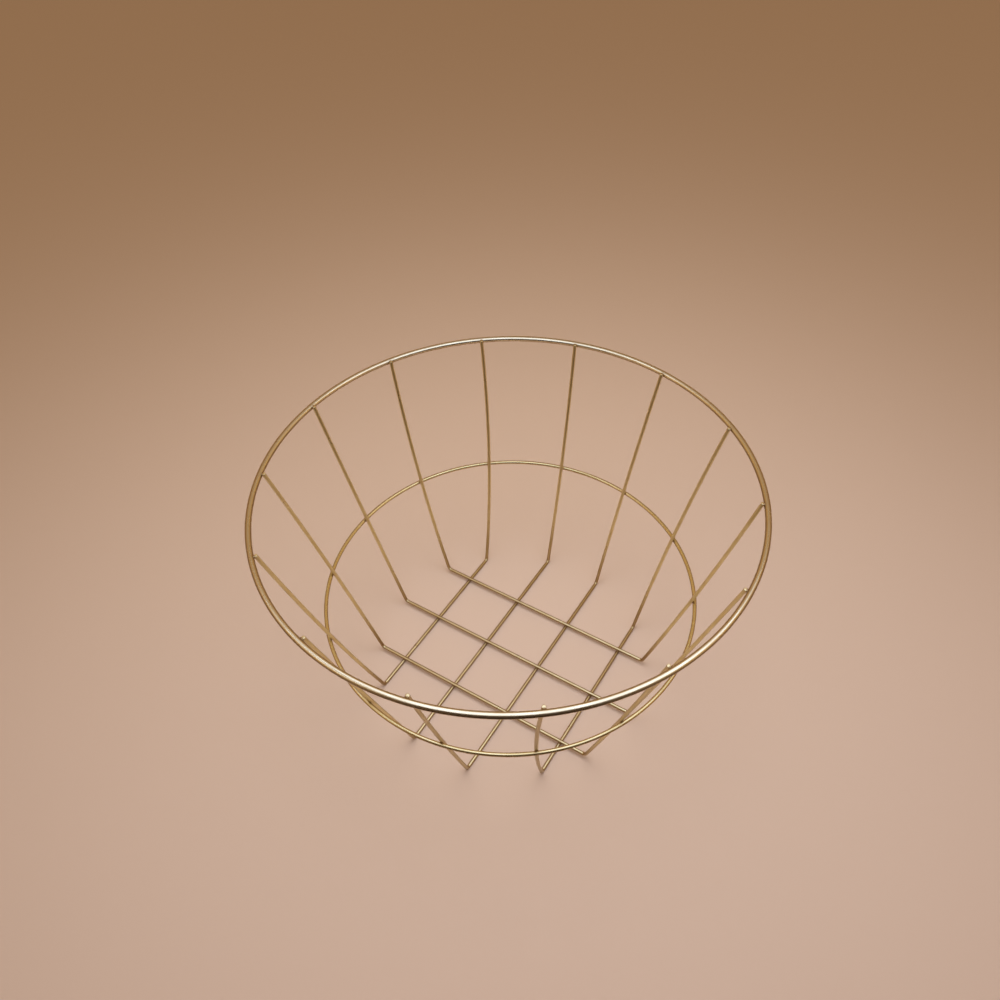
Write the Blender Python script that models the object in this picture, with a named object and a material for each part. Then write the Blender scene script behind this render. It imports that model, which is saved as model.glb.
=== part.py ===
"""A round fruit bowl of bare wire, open between its wires.

Four lower wires lie side by side on the table and three upper wires cross on top of them, which
makes the flat grid of the base. Each of the seven turns up sharply at both ends and flares out as
two uprights. The fourteen uprights pass inside the thin middle ring and end inside the thick rim
ring, evenly spaced round it. Every crossing is a spot weld, drawn as a hair of clearance.

Metres, +Z up. The origin is on the table under the middle of the grid. The upper wires run along X
and the lower wires along Y.
"""

import math

import bpy
from mathutils import Matrix, Vector

# The thick wire at the top, by its centre line.
RIM_RADIUS = 0.140
RIM_HEIGHT = 0.160
RIM_WIRE = 0.0035

# The thin wire round the waist. Its radius follows from the uprights that it holds.
RING_HEIGHT = 0.074
RING_WIRE = 0.0024

# The seven bent wires.
BASE_WIRE = 0.0022
LOWER_WIRES = 4
UPPER_WIRES = 3
PITCH = 0.040
BEND_CIRCLE_RADIUS = 0.0864
BEND_RADIUS = 0.0028
WALL_BOW = 0.0006
TIP_RISE = 0.0008

# Two wires that are welded together keep this much between their surfaces.
WELD_GAP = 0.0003

# How much of an upright's sideways drift comes late, near the rim.
LATE_DRIFT_SHARE = 0.35

# Facets.
WIRE_SIDES = 8
RING_SIDES = 10
RIM_SIDES = 12
RING_STEPS = 112
UPRIGHT_STEPS = 14
BEND_STEPS = 6

GOLD = (0.66, 0.46, 0.22, 1.0)
DARK_GOLD = (0.55, 0.37, 0.17, 1.0)

# What follows from the sizes above.
WIRE_FLAT = BASE_WIRE / 2 * math.cos(math.pi / WIRE_SIDES)
LOWER_LEVEL = WIRE_FLAT
UPPER_LEVEL = LOWER_LEVEL + 2 * WIRE_FLAT + WELD_GAP
TIP_HEIGHT = RIM_HEIGHT + TIP_RISE
TIP_STEP = math.pi / (LOWER_WIRES + UPPER_WIRES)
LEAN = math.hypot(1, (RIM_RADIUS - BEND_CIRCLE_RADIUS) / RIM_HEIGHT)


def seat_distance(outer_wire):
    """How far an upright's centre line lies inside a ring's, measured level, since the upright leans."""
    return ((outer_wire + BASE_WIRE) / 2 + WELD_GAP) * LEAN


def wall_radius(height):
    """Radius of the surface that every upright follows: a cone with a slight outward bow."""
    rise = height / RIM_HEIGHT
    top_radius = RIM_RADIUS - seat_distance(RIM_WIRE)
    straight = BEND_CIRCLE_RADIUS + (top_radius - BEND_CIRCLE_RADIUS) * rise
    return straight + 4 * WALL_BOW * rise * (1 - rise)


def upright_point(lane, level, climb):
    """Centre of an upright at a share of its climb, from 0 at the bend to 1 at the tip.

    X runs along the wire, Y across it. The wire drifts from its lane on the grid to its own place
    round the rim, and stays on the wall all the way.
    """
    height = level + (TIP_HEIGHT - level) * climb
    radius = wall_radius(height)
    tip_across = wall_radius(TIP_HEIGHT) * math.sin(lane * TIP_STEP)
    drift = climb * (1 - LATE_DRIFT_SHARE) + climb * climb * LATE_DRIFT_SHARE
    across = lane * PITCH + (tip_across - lane * PITCH) * drift
    return Vector((math.sqrt(radius * radius - across * across), across, height))


def half_wire(lane, level):
    """Points from the end of the straight run, round the bend and up to the tip."""
    corner = upright_point(lane, level, 0)
    along = Vector((1, 0, 0))
    up = (upright_point(lane, level, 1 / UPRIGHT_STEPS) - corner).normalized()
    turn = along.angle(up)
    inward = (up - along * along.dot(up)).normalized()
    start = corner - along * (BEND_RADIUS * math.tan(turn / 2))
    points = []
    for step in range(BEND_STEPS + 1):
        angle = turn * step / BEND_STEPS
        swing = along * math.sin(angle) + inward * (1 - math.cos(angle))
        points.append(start + swing * BEND_RADIUS)
    for step in range(1, UPRIGHT_STEPS + 1):
        points.append(upright_point(lane, level, step / UPRIGHT_STEPS))
    return points


def gold_material(name, colour, roughness):
    material = bpy.data.materials.new(name)
    material.use_nodes = True
    shader = material.node_tree.nodes["Principled BSDF"]
    shader.inputs["Base Color"].default_value = colour
    shader.inputs["Metallic"].default_value = 1.0
    shader.inputs["Roughness"].default_value = roughness
    material.diffuse_color = colour
    return material


def bent_wire(name, lane, level, quarter_turns, material):
    """One wire of the grid with its two uprights, as a bevelled curve whose flats face up and down."""
    middle = Vector((0, lane * PITCH, level))
    half = [point - middle for point in half_wire(lane, level)]
    mirrored = [Vector((-point.x, point.y, point.z)) for point in reversed(half)]
    points = mirrored + half

    curve = bpy.data.curves.new(name, "CURVE")
    curve.dimensions = "3D"
    curve.twist_mode = "Z_UP"
    curve.bevel_depth = BASE_WIRE / 2
    curve.bevel_resolution = WIRE_SIDES // 2 - 2
    curve.use_fill_caps = True
    spline = curve.splines.new("POLY")
    spline.points.add(len(points) - 1)
    for target, point in zip(spline.points, points):
        target.co = (*point, 1)
        target.tilt = math.pi / WIRE_SIDES
    curve.materials.append(material)

    wire = bpy.data.objects.new(name, curve)
    turn = Matrix.Rotation(quarter_turns * math.pi / 2, 3, "Z")
    wire.location = turn @ middle
    wire.rotation_euler = turn.to_euler()
    return wire


def wire_ring(name, radius, height, thickness, sides, material):
    """A hoop of round wire. It has a corner at every upright, so the clearance there is the named one."""
    bpy.ops.mesh.primitive_torus_add(
        major_radius=radius,
        minor_radius=thickness / 2,
        major_segments=RING_STEPS,
        minor_segments=sides,
        location=(0, 0, height),
    )
    ring = bpy.context.object
    ring.name = ring.data.name = name
    ring.data.shade_smooth()
    ring.data.materials.append(material)
    for collection in list(ring.users_collection):
        collection.objects.unlink(ring)
    return ring


def grid_wires(prefix, count, level, quarter_turns, material):
    """One layer of the grid, in order across it."""
    lanes = [index - (count - 1) / 2 for index in range(count)]
    return [
        bent_wire(f"{prefix}_{number}", lane, level, quarter_turns, material)
        for number, lane in enumerate(lanes, start=1)
    ]


for old in list(bpy.data.objects):
    bpy.data.objects.remove(old, do_unlink=True)

bowl = bpy.data.collections.new("wire_fruit_bowl")
bpy.context.scene.collection.children.link(bowl)

rim_gold = gold_material("rim_gold", GOLD, 0.30)
ring_gold = gold_material("ring_gold", GOLD, 0.28)
wire_gold = gold_material("wire_gold", DARK_GOLD, 0.28)

ring_radius = wall_radius(RING_HEIGHT) + seat_distance(RING_WIRE)
pieces = [
    wire_ring("rim_ring", RIM_RADIUS, RIM_HEIGHT, RIM_WIRE, RIM_SIDES, rim_gold),
    wire_ring("middle_ring", ring_radius, RING_HEIGHT, RING_WIRE, RING_SIDES, ring_gold),
]
pieces += grid_wires("lower_wire", LOWER_WIRES, LOWER_LEVEL, -1, wire_gold)
pieces += grid_wires("upper_wire", UPPER_WIRES, UPPER_LEVEL, 0, wire_gold)

stand = bpy.data.objects.new("bowl_stand_point", None)
stand.empty_display_size = PITCH
bowl.objects.link(stand)
for piece in pieces:
    bowl.objects.link(piece)
    piece.parent = stand
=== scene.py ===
"""A round fruit bowl of gold-plated wire, on a plain pale floor.

Metres, +Z up, with the table at z = 0 and the bowl's axis at x = y = 0. The upper grid wires run
along X and the lower ones along Y.
"""

import math

import bpy
import numpy as np
from mathutils import Matrix


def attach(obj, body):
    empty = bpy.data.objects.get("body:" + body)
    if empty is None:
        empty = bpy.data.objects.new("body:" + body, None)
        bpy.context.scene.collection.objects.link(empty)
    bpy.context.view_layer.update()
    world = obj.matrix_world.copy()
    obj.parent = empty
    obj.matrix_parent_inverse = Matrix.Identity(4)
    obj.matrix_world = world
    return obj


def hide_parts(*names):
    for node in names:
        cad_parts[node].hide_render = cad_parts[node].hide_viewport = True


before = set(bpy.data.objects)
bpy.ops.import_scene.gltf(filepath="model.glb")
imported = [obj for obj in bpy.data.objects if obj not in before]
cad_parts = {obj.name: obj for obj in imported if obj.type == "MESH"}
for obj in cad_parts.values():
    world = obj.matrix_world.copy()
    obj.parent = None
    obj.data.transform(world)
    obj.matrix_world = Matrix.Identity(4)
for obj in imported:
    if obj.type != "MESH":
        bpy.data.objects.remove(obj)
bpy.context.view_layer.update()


# The four lower wires of the grid
# Four lengths of 2.2 mm drawn steel wire that lie on the table. Each is bent up sharply at both
# ends and runs on as two uprights with flat cut ends. The whole bowl is plated after it is welded.

BASE_WIRE = 0.0022
LOWER_WIRES = 4
UPPER_WIRES = 3
PITCH = 0.040
BEND_CIRCLE_RADIUS = 0.0864
BEND_RADIUS = 0.0028
BEND_SQUASH_SHARE = 0.07
WALL_BOW = 0.0006
TIP_RISE = 0.0008
LATE_DRIFT_SHARE = 0.35
TABLE_GAP = 0.00001

# The two rings that the uprights are welded to, by their centre lines, and how far a weld sinks
# one wire into the other.
RIM_WIRE = 0.0035
RIM_RADIUS = 0.140
RIM_HEIGHT = 0.160
RING_WIRE = 0.0024
RING_HEIGHT = 0.074
WELD_SINK = 0.00015

LOWER_LEVEL = BASE_WIRE / 2 + TABLE_GAP
UPPER_LEVEL = LOWER_LEVEL + BASE_WIRE - WELD_SINK
TIP_HEIGHT = RIM_HEIGHT + TIP_RISE
TIP_STEP = math.pi / (LOWER_WIRES + UPPER_WIRES)
WALL_SLOPE = (RIM_RADIUS - BEND_CIRCLE_RADIUS) / RIM_HEIGHT
LEAN = math.hypot(1, WALL_SLOPE)

X_AXIS, Y_AXIS, Z_AXIS = np.eye(3)


def lanes(count):
    """Places of parallel wires, in pitches from their middle: the counting numbers less their mean."""
    return np.arange(count) - (count - 1) / 2


def unit(vectors):
    """Each vector divided by its length."""
    return vectors / np.linalg.norm(vectors, axis=-1, keepdims=True)


def turned_to_y(points):
    """A quarter turn about Z, which takes X to -Y and Y to X."""
    return points[..., [1, 0, 2]] * [1, -1, 1]


def seat_distance(outer_wire):
    """Level distance from a ring's centre line in to an upright's, where the two are welded.

    It is the sum of the two wires' radii less the weld's sink, lengthened by the upright's lean.
    """
    return ((outer_wire + BASE_WIRE) / 2 - WELD_SINK) * LEAN


def wall_radius(height):
    """A cone from the circle of bends to the rim, plus a parabola that bows it out half way up."""
    rise = height / RIM_HEIGHT
    top_radius = RIM_RADIUS - seat_distance(RIM_WIRE)
    straight = BEND_CIRCLE_RADIUS + (top_radius - BEND_CIRCLE_RADIUS) * rise
    return straight + 4 * WALL_BOW * rise * (1 - rise)


RING_RADIUS = wall_radius(RING_HEIGHT) + seat_distance(RING_WIRE)


def upright_line(lane, level, climb):
    """Centre line of an upright for an array of climbs, from 0 at the bend to 1 at the tip.

    The height grows evenly, the distance across drifts from the lane on the grid to the tip's own
    place round the rim, and the distance along is the one that keeps the point on the wall.
    """
    height = level + (TIP_HEIGHT - level) * climb
    tip_across = wall_radius(TIP_HEIGHT) * math.sin(lane * TIP_STEP)
    drift = climb * (1 - LATE_DRIFT_SHARE) + climb * climb * LATE_DRIFT_SHARE
    across = lane * PITCH + (tip_across - lane * PITCH) * drift
    along = np.sqrt(wall_radius(height) ** 2 - across**2)
    return np.stack([along, across, height], axis=1)


RUN_POINTS = 50
BEND_POINTS = 17
UPRIGHT_POINTS = 70
FIRST_CLIMB = 0.06


def bent_wire_line(lane, level):
    """Centre line of a whole wire, and how sharply it bends at each point, from 0 to 1.

    One half is a straight run, an arc of the bend radius that turns from level to the upright's
    slope, and the upright from its first climb on. The other half is its mirror image in the middle
    of the run. The sharpness is a sine over the arc.
    """
    corner, after = upright_line(lane, level, np.array([0.0, FIRST_CLIMB]))
    up = unit(after - corner)
    turn = math.acos(up @ X_AXIS)
    inward = unit(up - X_AXIS * (up @ X_AXIS))
    start = corner - X_AXIS * (BEND_RADIUS * math.tan(turn / 2))
    middle = np.array([0.0, lane * PITCH, level])
    run = middle + np.linspace(0, 1, RUN_POINTS)[1:-1, None] * (start - middle)
    angle = np.linspace(0, turn, BEND_POINTS)[:, None]
    arc = start + BEND_RADIUS * (np.sin(angle) * X_AXIS + (1 - np.cos(angle)) * inward)
    rise = upright_line(lane, level, np.linspace(FIRST_CLIMB, 1, UPRIGHT_POINTS))
    half = np.concatenate([run, arc, rise])
    sharpness = np.sin(np.linspace(0, math.pi, BEND_POINTS))
    bend = np.pad(sharpness, (len(run), len(rise)))
    return np.concatenate([half[::-1] * [-1, 1, 1], half]), np.concatenate([bend[::-1], bend])


WIRE_SIDES = 28
CAP_RINGS = 10
CAP_HEIGHT_SHARE = 0.5
CAP_POWER = 2 / 3


def cut_ends(line, tangent, radius):
    """An open wire's line with the rings that close its ends, their sizes, and its two last points.

    Over a quarter turn of an angle the rings shrink with its cosine and move on with its sine, both
    to the power two thirds. That makes a cap that is half as high as a ball's and nearly flat.
    """
    angle = np.linspace(0, math.pi / 2, CAP_RINGS + 2)[1:-1]
    height = radius * CAP_HEIGHT_SHARE
    reach = height * np.sin(angle) ** CAP_POWER
    shrink = np.cos(angle) ** CAP_POWER
    before = line[0] - reach[::-1, None] * tangent[0]
    beyond = line[-1] + reach[:, None] * tangent[-1]
    size = radius * np.concatenate([shrink[::-1], np.ones(len(line)), shrink])
    poles = [line[0] - height * tangent[0], line[-1] + height * tangent[-1]]
    return np.concatenate([before, line, beyond]), size, poles


def band_faces(rings, sides, closed):
    """Quads that join each ring of points to the next, and the last to the first if closed."""
    ring = np.arange(rings if closed else rings - 1)[:, None]
    next_ring = (ring + 1) % rings
    spot = np.arange(sides)
    next_spot = np.roll(spot, -1)
    corners = [ring * sides + spot, ring * sides + next_spot]
    corners += [next_ring * sides + next_spot, next_ring * sides + spot]
    return np.stack(corners, axis=2).reshape(-1, 4)


def fan_faces(pole, ring):
    """Triangles from a pole to each two neighbours of a ring of points, in the ring's order."""
    return np.stack([np.full(len(ring), pole), ring, np.roll(ring, -1)], axis=1)


def swept_wire(name, line, across, thickness, bend=None, sides=WIRE_SIDES):
    """A round wire: a circle carried along a line, square to it.

    Its two axes are the direction across, made square to the line, and the cross product of the
    line with that. A wire without bends is a closed hoop, and one with bends is open, has cut ends,
    and is flatter and a little wider where it bends. The attribute straight says where a point
    would lie if the wire were drawn out along Z, so that a pattern can follow it.
    """
    radius = thickness / 2
    closed = bend is None
    if closed:
        tangent = unit(np.roll(line, -1, axis=0) - np.roll(line, 1, axis=0))
        centre, size, squash = line, np.full(len(line), radius), np.zeros(len(line))
    else:
        tangent = unit(np.gradient(line, axis=0))
        centre, size, poles = cut_ends(line, tangent, radius)
        squash = np.pad(bend, CAP_RINGS) * BEND_SQUASH_SHARE
        tangent = np.pad(tangent, ((CAP_RINGS, CAP_RINGS), (0, 0)), mode="edge")
    step = np.linalg.norm(np.diff(centre, axis=0), axis=1)
    distance = np.concatenate([[0], np.cumsum(step)])
    side = unit(across - np.sum(across * tangent, axis=1, keepdims=True) * tangent)
    over = np.cross(tangent, side)
    turn = np.arange(sides) * 2 * math.pi / sides
    wide = (size * (1 + squash / 2))[:, None] * np.cos(turn)
    tall = (size * (1 - squash))[:, None] * np.sin(turn)
    points = centre[:, None] + wide[..., None] * side[:, None] + tall[..., None] * over[:, None]
    straight = np.stack([wide, tall, np.broadcast_to(distance[:, None], wide.shape)], axis=2)
    points, straight = points.reshape(-1, 3), straight.reshape(-1, 3)

    faces = band_faces(len(centre), sides, closed).tolist()
    if not closed:
        first, start_pole = np.arange(sides), len(points)
        last = first + (len(centre) - 1) * sides
        points = np.concatenate([points, poles])
        straight = np.concatenate([straight, Z_AXIS * distance[[0, -1], None]])
        faces += fan_faces(start_pole, first[::-1]).tolist()
        faces += fan_faces(start_pole + 1, last).tolist()
    return smooth_piece(name, points, faces, straight)


# The twelve crossings of the grid, then the touches of the fourteen uprights with each ring.
grid_x, grid_y = np.meshgrid(lanes(LOWER_WIRES) * PITCH, lanes(UPPER_WIRES) * PITCH, indexing="ij")
grid_z = np.full(grid_x.shape, (LOWER_LEVEL + UPPER_LEVEL) / 2)
crossings = np.stack([grid_x, grid_y, grid_z], axis=2).reshape(-1, 3)


def ring_touches(radius, wire, height):
    """Where each upright touches a ring: a ring wire's radius in from its centre line.

    The touch lies square to the upright, which leans outwards, so it is a little above the ring's
    centre as well as inside it.
    """
    found = []
    for level, count in ((LOWER_LEVEL, LOWER_WIRES), (UPPER_LEVEL, UPPER_WIRES)):
        for lane in lanes(count):
            climb = (height - level) / (TIP_HEIGHT - level)
            level_place = upright_line(lane, level, np.array([climb]))[0] * [1, 1, 0]
            inside = unit(level_place) * (radius - wire / 2 / LEAN)
            touch = inside + Z_AXIS * (height + wire / 2 * WALL_SLOPE / LEAN)
            both = np.stack([touch, touch * [-1, 1, 1]])
            found.append(turned_to_y(both) if count == LOWER_WIRES else both)
    return np.concatenate(found)


rim_touches = ring_touches(RIM_RADIUS, RIM_WIRE, RIM_HEIGHT)
waist_touches = ring_touches(RING_RADIUS, RING_WIRE, RING_HEIGHT)
all_welds = np.concatenate([crossings, rim_touches, waist_touches])

# How far along a wire the heat of a weld has browned the plating: weld burn, and painted shade
# where the wires meet.
WELD_REACH = 0.0024


def smooth_piece(name, points, faces, straight):
    """A smooth shaded object at the origin that keeps how near each of its points is to a weld.

    The attribute weld_heat is a sum over the welds of a bell curve of the distance to each, up to 1.
    """
    apart = np.linalg.norm(points[:, None] - all_welds[None], axis=2)
    heat = np.minimum(np.exp(-((apart / WELD_REACH) ** 2)).sum(axis=1), 1)
    mesh = bpy.data.meshes.new(name)
    mesh.from_pydata(points.tolist(), [], faces)
    mesh.polygons.foreach_set("use_smooth", np.ones(len(faces), dtype=bool))
    for label, kind, field, values in (
        ("straight", "FLOAT_VECTOR", "vector", straight),
        ("weld_heat", "FLOAT", "value", heat),
    ):
        attribute = mesh.attributes.new(label, kind, "POINT")
        attribute.data.foreach_set(field, values.astype(np.float32).ravel())
    mesh.update()
    piece = bpy.data.objects.new(name, mesh)
    bpy.context.scene.collection.objects.link(piece)
    return piece


NUMBER, COLOUR, VECTOR = "NodeSocketFloat", "NodeSocketColor", "NodeSocketVector"


def shader_group(name, inputs, outputs):
    """An empty node group: its tree, the sockets of its inputs and the sockets of its outputs."""
    tree = bpy.data.node_groups.new(name, "ShaderNodeTree")
    for label, kind in inputs.items():
        tree.interface.new_socket(label, in_out="INPUT", socket_type=kind)
    for label, kind in outputs.items():
        tree.interface.new_socket(label, in_out="OUTPUT", socket_type=kind)
    return tree, tree.nodes.new("NodeGroupInput").outputs, tree.nodes.new("NodeGroupOutput").inputs


def add_node(tree, kind, inputs, **settings):
    """The outputs of a new node, whose inputs, by name or place, take values or links."""
    node = tree.nodes.new(kind)
    for label, setting in settings.items():
        setattr(node, label, setting)
    for place, value in inputs.items():
        if isinstance(value, bpy.types.NodeSocket):
            tree.links.new(value, node.inputs[place])
        else:
            node.inputs[place].default_value = value
    return node.outputs


def maths(tree, operation, *values):
    """The result of one arithmetic step on numbers or on other nodes' outputs."""
    return add_node(tree, "ShaderNodeMath", dict(enumerate(values)), operation=operation)[0]


def smooth_step(tree, value, edges, ends=(0.0, 1.0)):
    """A number that goes smoothly from one end to the other while value goes from edge to edge."""
    inputs = dict(enumerate([value, *edges, *ends]))
    return add_node(tree, "ShaderNodeMapRange", inputs, interpolation_type="SMOOTHSTEP")[0]


def mixed_colour(tree, share, first, second):
    """A colour that lies a share of the way from the first to the second."""
    return add_node(tree, "ShaderNodeMix", {0: share, 6: first, 7: second}, data_type="RGBA")[2]


# Faint lines that the drawing die leaves along a wire: noise that is stretched along its length.
drawn_lines, given, result = shader_group(
    "drawn_lines", {"Straight": VECTOR, "Width": NUMBER, "Length": NUMBER}, {"Lines": NUMBER}
)
fine = maths(drawn_lines, "DIVIDE", 1.0, given["Width"])
slow = maths(drawn_lines, "DIVIDE", 1.0, given["Length"])
stretch = add_node(drawn_lines, "ShaderNodeCombineXYZ", {"X": fine, "Y": fine, "Z": slow})[0]
factors = {0: given["Straight"], 1: stretch}
stretched = add_node(drawn_lines, "ShaderNodeVectorMath", factors, operation="MULTIPLY")[0]
grain = {"Vector": stretched, "Scale": 1.0, "Detail": 2.0, "Roughness": 0.5}
noise = add_node(drawn_lines, "ShaderNodeTexNoise", grain)["Fac"]
drawn_lines.links.new(noise, result["Lines"])

# Cloudy differences in the plating's thickness, and a tiny pit in the middle of each small cell.
plating_clouds, given, result = shader_group(
    "plating_clouds",
    {"Straight": VECTOR, "Cloud Size": NUMBER, "Pit Spacing": NUMBER},
    {"Clouds": NUMBER, "Pits": NUMBER},
)
CLOUD_EDGES = (0.32, 0.68)
PIT_EDGES = (0.03, 0.08)
cloud_scale = maths(plating_clouds, "DIVIDE", 1.0, given["Cloud Size"])
puffs = {"Vector": given["Straight"], "Scale": cloud_scale, "Detail": 4.0, "Roughness": 0.55}
noise = add_node(plating_clouds, "ShaderNodeTexNoise", puffs)["Fac"]
pit_scale = maths(plating_clouds, "DIVIDE", 1.0, given["Pit Spacing"])
cells = {"Vector": given["Straight"], "Scale": pit_scale}
from_middle = add_node(plating_clouds, "ShaderNodeTexVoronoi", cells)["Distance"]
clouds = smooth_step(plating_clouds, noise, CLOUD_EDGES)
pits = smooth_step(plating_clouds, from_middle, PIT_EDGES, (1.0, 0.0))
plating_clouds.links.new(clouds, result["Clouds"])
plating_clouds.links.new(pits, result["Pits"])

# The plating's colour: between its thin and its thick tone, and browner round a weld, for weld
# burn and for painted shade where the wires meet.
plated_colour, given, result = shader_group(
    "plated_colour",
    {
        "Thin": COLOUR,
        "Thick": COLOUR,
        "Burnt And Shaded": COLOUR,
        "Clouds": NUMBER,
        "Heat": NUMBER,
        "Burn And Shade": NUMBER,
    },
    {"Colour": COLOUR},
)
tone = mixed_colour(plated_colour, given["Clouds"], given["Thin"], given["Thick"])
burn_and_shade_share = maths(plated_colour, "MULTIPLY", given["Heat"], given["Burn And Shade"])
burnt_and_shaded = mixed_colour(plated_colour, burn_and_shade_share, tone, given["Burnt And Shaded"])
plated_colour.links.new(burnt_and_shaded, result["Colour"])

# Painted shade: a brown coat over the plating, nearly clear seen straight on, that darkens each
# wire towards its edges. With the slant it sets in from Inner to Full, goes again before the
# outline, and keeps a share at the outline.
painted_edge_shade, given, result = shader_group(
    "painted_edge_shade",
    {"Slant": NUMBER, "Depth": NUMBER, "Inner": NUMBER, "Full": NUMBER, "Outline": NUMBER},
    {"Weight": NUMBER},
)
BAND_END_SLANTS = (0.55, 0.78)
OUTLINE_SLANTS = (0.5, 0.8)
rising = smooth_step(painted_edge_shade, given["Slant"], (given["Inner"], given["Full"]))
falling = smooth_step(painted_edge_shade, given["Slant"], BAND_END_SLANTS, (1.0, 0.0))
band = maths(painted_edge_shade, "MULTIPLY", rising, falling)
inside = maths(painted_edge_shade, "MULTIPLY", band, given["Depth"])
grazing = smooth_step(painted_edge_shade, given["Slant"], OUTLINE_SLANTS)
outline = maths(painted_edge_shade, "MULTIPLY", grazing, given["Outline"])
weight = maths(painted_edge_shade, "MAXIMUM", inside, outline)
painted_edge_shade.links.new(weight, result["Weight"])

# The plating's gloss: rougher along the die's lines, in thick plating, and round a weld.
plated_gloss, given, result = shader_group(
    "plated_gloss",
    {"Roughness": NUMBER, "Lines": NUMBER, "Clouds": NUMBER, "Heat": NUMBER, "Spread": NUMBER},
    {"Roughness": NUMBER},
)
pattern = maths(plated_gloss, "ADD", given["Lines"], given["Clouds"])
centred = maths(plated_gloss, "SUBTRACT", pattern, 1.0)
with_heat = maths(plated_gloss, "ADD", centred, given["Heat"])
total = maths(plated_gloss, "MULTIPLY_ADD", with_heat, given["Spread"], given["Roughness"])
plated_gloss.links.new(total, result["Roughness"])

LINE_LENGTH = 0.04
CLOUD_SIZE = 0.018
PIT_SPACING = 0.003
# Weld burn and painted shade: the brown that the plating turns round the welds, where the wires meet.
BURN_AND_SHADE_BROWN = (0.3, 0.15, 0.06, 1)
# The brown coat that paints shade towards the wires' edges: its tint, its gloss, its share at the
# outline, and the heights over which its depth changes.
EDGE_SHADE_BROWN = (0.38, 0.25, 0.13, 1)
EDGE_SHADE_ROUGHNESS = 0.45
OUTLINE_SHADE = 0.45
EDGE_SHADE_HEIGHTS = (0.003, 0.05)
GLOSS_SPREAD = 0.06
RELIEF = {"Strength": 0.03, "Distance": 0.00003}


def gold_plated(name, *, thin, thick, roughness, burn_and_shade, edge_shade, slants, line_width=0.0003):
    """Satin gold plating on drawn wire, made of the five groups above, under a brown coat that paints
    shade towards each wire's edges.

    thin and thick are the plating's tones, burn_and_shade is how brown it turns round its welds,
    for weld burn and for painted shade where the wires meet, and line_width is how far apart the
    die's lines lie. edge_shade gives the depth of the painted edge shade near the table and higher
    up, and slants the two slants between which it sets in.
    """
    material = bpy.data.materials.new(name)
    material.use_nodes = True
    tree = material.node_tree
    shader = tree.nodes["Principled BSDF"].inputs
    shader["Metallic"].default_value = 1.0
    shader["Coat Roughness"].default_value = EDGE_SHADE_ROUGHNESS
    shader["Coat Tint"].default_value = EDGE_SHADE_BROWN

    straight = add_node(tree, "ShaderNodeAttribute", {}, attribute_name="straight")["Vector"]
    heat = add_node(tree, "ShaderNodeAttribute", {}, attribute_name="weld_heat")["Fac"]
    die = {"Straight": straight, "Width": line_width, "Length": LINE_LENGTH}
    lines = add_node(tree, "ShaderNodeGroup", die, node_tree=drawn_lines)["Lines"]
    bath = {"Straight": straight, "Cloud Size": CLOUD_SIZE, "Pit Spacing": PIT_SPACING}
    plate = add_node(tree, "ShaderNodeGroup", bath, node_tree=plating_clouds)
    tones = {"Thin": (*thin, 1), "Thick": (*thick, 1), "Burnt And Shaded": BURN_AND_SHADE_BROWN}
    tones |= {"Clouds": plate["Clouds"], "Heat": heat, "Burn And Shade": burn_and_shade}
    colour = add_node(tree, "ShaderNodeGroup", tones, node_tree=plated_colour)["Colour"]
    polish = {"Roughness": roughness, "Lines": lines, "Clouds": plate["Clouds"], "Heat": heat}
    polish |= {"Spread": GLOSS_SPREAD}
    gloss = add_node(tree, "ShaderNodeGroup", polish, node_tree=plated_gloss)["Roughness"]

    # Painted shade: a brown coat whose weight grows with the slant, darkening each wire towards its
    # edges, deepest on the grid near the table.
    slant = add_node(tree, "ShaderNodeLayerWeight", {"Blend": 0.5})["Facing"]
    spot = add_node(tree, "ShaderNodeTexCoord", {})["Object"]
    spot_height = add_node(tree, "ShaderNodeSeparateXYZ", {"Vector": spot})["Z"]
    depth = smooth_step(tree, spot_height, EDGE_SHADE_HEIGHTS, edge_shade)
    coat = {"Slant": slant, "Depth": depth, "Inner": slants[0], "Full": slants[1]}
    coat |= {"Outline": OUTLINE_SHADE}
    weight = add_node(tree, "ShaderNodeGroup", coat, node_tree=painted_edge_shade)["Weight"]

    height = maths(tree, "SUBTRACT", lines, plate["Pits"])
    normal = add_node(tree, "ShaderNodeBump", {"Height": height, **RELIEF})["Normal"]
    tree.links.new(colour, shader["Base Color"])
    tree.links.new(weight, shader["Coat Weight"])
    tree.links.new(gloss, shader["Roughness"])
    tree.links.new(normal, shader["Normal"])
    return material


wire_gold = gold_plated(
    "wire_gold_plating",
    thin=(0.80, 0.69, 0.39),
    thick=(0.73, 0.61, 0.31),
    roughness=0.30,
    burn_and_shade=0.3,
    edge_shade=(0.9, 0.0),
    slants=(0.04, 0.32),
)

for number, lane in enumerate(lanes(LOWER_WIRES), start=1):
    line, bend = bent_wire_line(lane, LOWER_LEVEL)
    wire = swept_wire(f"grid_wire_low_{number}", turned_to_y(line), X_AXIS, BASE_WIRE, bend)
    wire.data.materials.append(wire_gold)
    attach(wire, "root")
    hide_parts(f"lower_wire_{number}")


# The three upper wires of the grid
# Three more of the same wire, bent the same way, that lie across the lower four and are spot
# welded to each. Their bends sit one wire higher, on the same circle.

for number, lane in enumerate(lanes(UPPER_WIRES), start=1):
    line, bend = bent_wire_line(lane, UPPER_LEVEL)
    wire = swept_wire(f"grid_wire_high_{number}", line, Y_AXIS, BASE_WIRE, bend)
    wire.data.materials.append(wire_gold)
    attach(wire, "root")
    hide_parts(f"upper_wire_{number}")


# The middle ring
# A hoop of slightly thicker wire round the outside of the uprights, at the height of the waist. It
# is spot welded to all fourteen and plated with them.

HOOP_POINTS = 336


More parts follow.
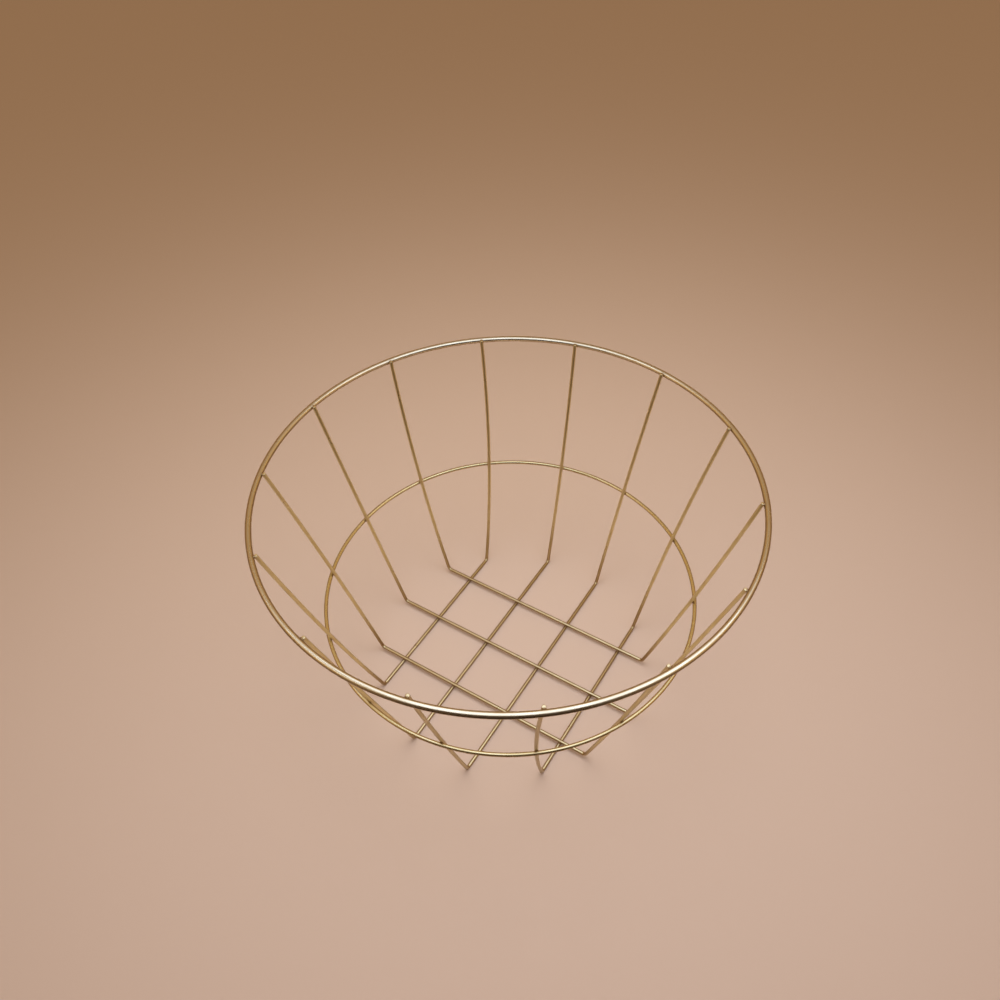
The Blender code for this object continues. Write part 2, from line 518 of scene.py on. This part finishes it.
def hoop_line(radius, height, seam):
    """A level circle: the radius times the cosine and sine of an angle that grows evenly.

    It starts at the seam, the angle where the pattern along the wire starts and ends.
    """
    angle = seam + np.arange(HOOP_POINTS) * 2 * math.pi / HOOP_POINTS
    level = np.full(HOOP_POINTS, height)
    return np.stack([radius * np.cos(angle), radius * np.sin(angle), level], axis=1)


ring_gold = gold_plated(
    "ring_gold_plating",
    thin=(0.75, 0.62, 0.33),
    thick=(0.68, 0.55, 0.26),
    roughness=0.26,
    burn_and_shade=0.3,
    edge_shade=(0.85, 0.85),
    slants=(0.20, 0.55),
)
ring = swept_wire("waist_hoop", hoop_line(RING_RADIUS, RING_HEIGHT, seam=0.3), Z_AXIS, RING_WIRE)
ring.data.materials.append(ring_gold)
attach(ring, "root")
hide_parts("middle_ring")


# The rim
# A hoop of 3.5 mm steel wire that stiffens the mouth. The fourteen cut tips of the uprights are
# welded to its inside, and it is plated with them.

RIM_SIDES = 40

rim_gold = gold_plated(
    "rim_gold_plating",
    thin=(0.80, 0.71, 0.49),
    thick=(0.74, 0.64, 0.42),
    roughness=0.28,
    burn_and_shade=0.2,
    edge_shade=(0.85, 0.85),
    slants=(0.12, 0.5),
    line_width=0.0004,
)
rim_line = hoop_line(RIM_RADIUS, RIM_HEIGHT, seam=2.2)
rim = swept_wire("mouth_hoop", rim_line, Z_AXIS, RIM_WIRE, sides=RIM_SIDES)
rim.data.materials.append(rim_gold)
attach(rim, "root")
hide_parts("rim_ring")


# The welds
# Resistance welds: at every touch a little metal was squeezed out between the two wires, and the
# plating runs over it. Twelve on the grid, fourteen at the middle ring and fourteen at the rim.

BEAD_RINGS = 10
BEAD_SIDES = 20

# How far a bead reaches along its three axes: X, Y and Z on the grid, and at a ring along the
# ring, up, and out from the bowl's axis.
GRID_BEAD = (0.0011, 0.0011, 0.00045)
WAIST_BEAD = (0.0010, 0.0011, 0.00045)
RIM_BEAD = (0.0012, 0.0011, 0.0006)


def weld_beads(name, centres, axes, reach):
    """Flattened balls: each point is a centre plus three axes times a ball's terms and its reaches.

    Down from a pole by one angle and round by another, the terms are the sine down times the cosine
    round, the sine down times the sine round, and the cosine down.
    """
    down = np.linspace(0, math.pi, BEAD_RINGS + 2)[1:-1, None]
    around = np.arange(BEAD_SIDES) * 2 * math.pi / BEAD_SIDES
    terms = [np.sin(down) * np.cos(around), np.sin(down) * np.sin(around), np.cos(down)]
    ball = np.stack(np.broadcast_arrays(*terms), axis=2).reshape(-1, 3)
    ball = np.concatenate([ball, [Z_AXIS, -Z_AXIS]]) * reach
    points = (centres[:, None] + ball @ axes).reshape(-1, 3)

    top, bottom = len(ball) - 2, len(ball) - 1
    first = np.arange(BEAD_SIDES)
    last = first + (BEAD_RINGS - 1) * BEAD_SIDES
    # The rings go down, so their quads are turned over to face outwards.
    bands = band_faces(BEAD_RINGS, BEAD_SIDES, closed=False)[:, [0, 3, 2, 1]]
    caps = np.concatenate([fan_faces(top, first), fan_faces(bottom, last[::-1])])
    shift = np.arange(len(centres))[:, None, None] * len(ball)
    faces = (bands + shift).reshape(-1, 4).tolist() + (caps + shift).reshape(-1, 3).tolist()
    return smooth_piece(name, points, faces, points)


def level_axes(points):
    """At each point: the directions round the bowl's axis, up, and out from it, right-handed."""
    out = unit(points * [1, 1, 0])
    up = np.broadcast_to(Z_AXIS, out.shape)
    return np.stack([np.cross(up, out), up, out], axis=1)


# The beads are browned deeply, for weld burn and for painted shade where the wires touch.
weld_gold = gold_plated(
    "weld_gold_plating",
    thin=(0.72, 0.63, 0.36),
    thick=(0.66, 0.56, 0.30),
    roughness=0.34,
    burn_and_shade=0.85,
    edge_shade=(0.6, 0.6),
    slants=(0.12, 0.5),
)

for name, touches, axes, reach, slot in (
    ("grid_welds", crossings, np.eye(3), GRID_BEAD, "wire_gold"),
    ("waist_welds", waist_touches, level_axes(waist_touches), WAIST_BEAD, "ring_gold"),
    ("rim_welds", rim_touches, level_axes(rim_touches), RIM_BEAD, "rim_gold"),
):
    beads = weld_beads(name, touches, axes, reach)
    beads.data.materials.append(weld_gold)
    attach(beads, "root")


# The floor, the light and the camera
# A plain pale floor under soft lamps that hang low over the bowl, and a plain backdrop. Only the
# wires mirror the tan walls, the brown ceiling, the dark front and the dark sheet that lies there.

# The way the camera looks and the way to its right, fitted to the photograph, and both laid level.
forward = unit(np.array([-0.38459, 0.58138, -0.71700]))
right = unit(np.array([0.84795, 0.52947, -0.02551]))
away = unit(forward * [1, 1, 0])
sideways = np.array([away[1], -away[0], 0])

FLOOR_REACH = 6.0
FLOOR_COLOUR = (0.57, 0.435, 0.332)
CARD_HALF_WIDTH = 0.45
CARD_NEAR_END = -3.0
CARD_FAR_END = -0.24
CARD_HEIGHT = 0.0004
CARD_COLOUR = (0.03, 0.02, 0.015)


def across_camera(along_right, along_away, height):
    """A place given by how far it lies to the right of the bowl's axis and beyond it."""
    return along_right * sideways + along_away * away + height * Z_AXIS


def flat_sheet(name, corners, colour):
    """A level sheet of dull paper with one plain colour, which isn't part of the bowl."""
    paper = bpy.data.materials.new(name)
    paper.use_nodes = True
    shader = paper.node_tree.nodes["Principled BSDF"].inputs
    shader["Base Color"].default_value = (*colour, 1)
    shader["Roughness"].default_value = 0.8
    shader["Specular IOR Level"].default_value = 0.0
    mesh = bpy.data.meshes.new(name)
    mesh.from_pydata(corners, [], [(0, 1, 2, 3)])
    mesh.materials.append(paper)
    sheet = bpy.data.objects.new(name, mesh)
    bpy.context.scene.collection.objects.link(sheet)
    return sheet


floor_signs = np.array([[-1, -1, 0], [1, -1, 0], [1, 1, 0], [-1, 1, 0]])
flat_sheet("floor", (floor_signs * FLOOR_REACH).tolist(), FLOOR_COLOUR)
# Painted reflection: a dark sheet just above the floor in front of the bowl, which the camera doesn't
# see, which lights nothing and casts no shadow. Only the wires mirror it, so they show dark where they
# face the pale floor in front.
card_corners = [
    across_camera(-CARD_HALF_WIDTH, CARD_NEAR_END, CARD_HEIGHT),
    across_camera(CARD_HALF_WIDTH, CARD_NEAR_END, CARD_HEIGHT),
    across_camera(CARD_HALF_WIDTH, CARD_FAR_END, CARD_HEIGHT),
    across_camera(-CARD_HALF_WIDTH, CARD_FAR_END, CARD_HEIGHT),
]
card = flat_sheet("dark_card", [corner.tolist() for corner in card_corners], CARD_COLOUR)
card.visible_camera = card.visible_diffuse = card.visible_shadow = False

LOW_WALL = (0.72, 0.47, 0.21, 1)
HIGH_WALL = (0.66, 0.43, 0.19, 1)
DARK_FRONT = (0.05, 0.03, 0.02, 1)
CEILING = (0.45, 0.35, 0.28, 1)
BACKDROP = (0.46, 0.32, 0.22, 1)
WALL_EDGES = (0.0, 0.7)
FRONT_EDGES = (0.3, 0.75)
CEILING_EDGES = (0.55, 0.85)

# What a ray that leaves the scene meets, by how much it goes up and back towards the camera. The
# camera's own rays meet the backdrop.
world = bpy.data.worlds.new("studio")
world.use_nodes = True
studio = world.node_tree
ray = add_node(studio, "ShaderNodeTexCoord", {})["Generated"]
ray_up = add_node(studio, "ShaderNodeSeparateXYZ", {"Vector": ray})["Z"]
factors = {0: ray, 1: (-away).tolist()}
ray_back = add_node(studio, "ShaderNodeVectorMath", factors, operation="DOT_PRODUCT")["Value"]
seen = add_node(studio, "ShaderNodeLightPath", {})["Is Camera Ray"]
wall_share = smooth_step(studio, ray_up, WALL_EDGES)
front_share = smooth_step(studio, ray_back, FRONT_EDGES)
ceiling_share = smooth_step(studio, ray_up, CEILING_EDGES)
shade = mixed_colour(studio, wall_share, LOW_WALL, HIGH_WALL)
shade = mixed_colour(studio, front_share, shade, DARK_FRONT)
shade = mixed_colour(studio, ceiling_share, shade, CEILING)
shade = mixed_colour(studio, seen, shade, BACKDROP)
studio.links.new(shade, studio.nodes["Background"].inputs["Color"])
bpy.context.scene.world = world


def placed(along_x, along_y, along_z, origin):
    """The matrix that lays an object's own axes along three directions, from an origin."""
    return Matrix(np.array([along_x, along_y, along_z, origin]).T.tolist()).to_4x4()


def soft_light(name, place, width, depth, watts, colour, mirrored):
    """A lamp that faces straight down, square to the camera, and that the wires mirror or not."""
    lamp = bpy.data.lights.new(name, "AREA")
    lamp.shape = "RECTANGLE"
    lamp.size = width
    lamp.size_y = depth
    lamp.energy = watts
    lamp.color = colour
    holder = bpy.data.objects.new(name, lamp)
    holder.matrix_world = placed(sideways, away, Z_AXIS, place)
    holder.visible_camera = False
    holder.visible_glossy = mirrored
    bpy.context.scene.collection.objects.link(holder)


soft_light(
    "near_lamp",
    across_camera(0.10, -0.12, 0.48),
    width=0.68,
    depth=0.46,
    watts=1.36,
    colour=(0.79, 0.95, 1.33),
    mirrored=True,
)
soft_light(
    "left_lamp",
    across_camera(-0.42, -0.12, 0.48),
    width=0.11,
    depth=0.46,
    watts=0.22,
    colour=(0.79, 0.95, 1.35),
    mirrored=True,
)
soft_light(
    "top_lamp",
    across_camera(0.0, 0.10, 0.50),
    width=0.40,
    depth=0.40,
    watts=1.15,
    colour=(1.0, 0.96, 0.90),
    mirrored=False,
)
soft_light(
    "ceiling",
    (-0.25, 0.40, 1.6),
    width=2.6,
    depth=2.6,
    watts=0.8,
    colour=(1.0, 0.70, 0.45),
    mirrored=False,
)

bpy.context.scene.view_settings.view_transform = "Standard"
camera = bpy.data.objects.new("camera", bpy.data.cameras.new("camera"))
camera.data.lens = 32.07
camera.data.sensor_width = 36
camera.data.clip_start = 0.01
camera_place = (0.18701, -0.28966, 0.50661)
camera.matrix_world = placed(right, np.cross(right, forward), -forward, camera_place)
bpy.context.scene.collection.objects.link(camera)
bpy.context.scene.camera = camera
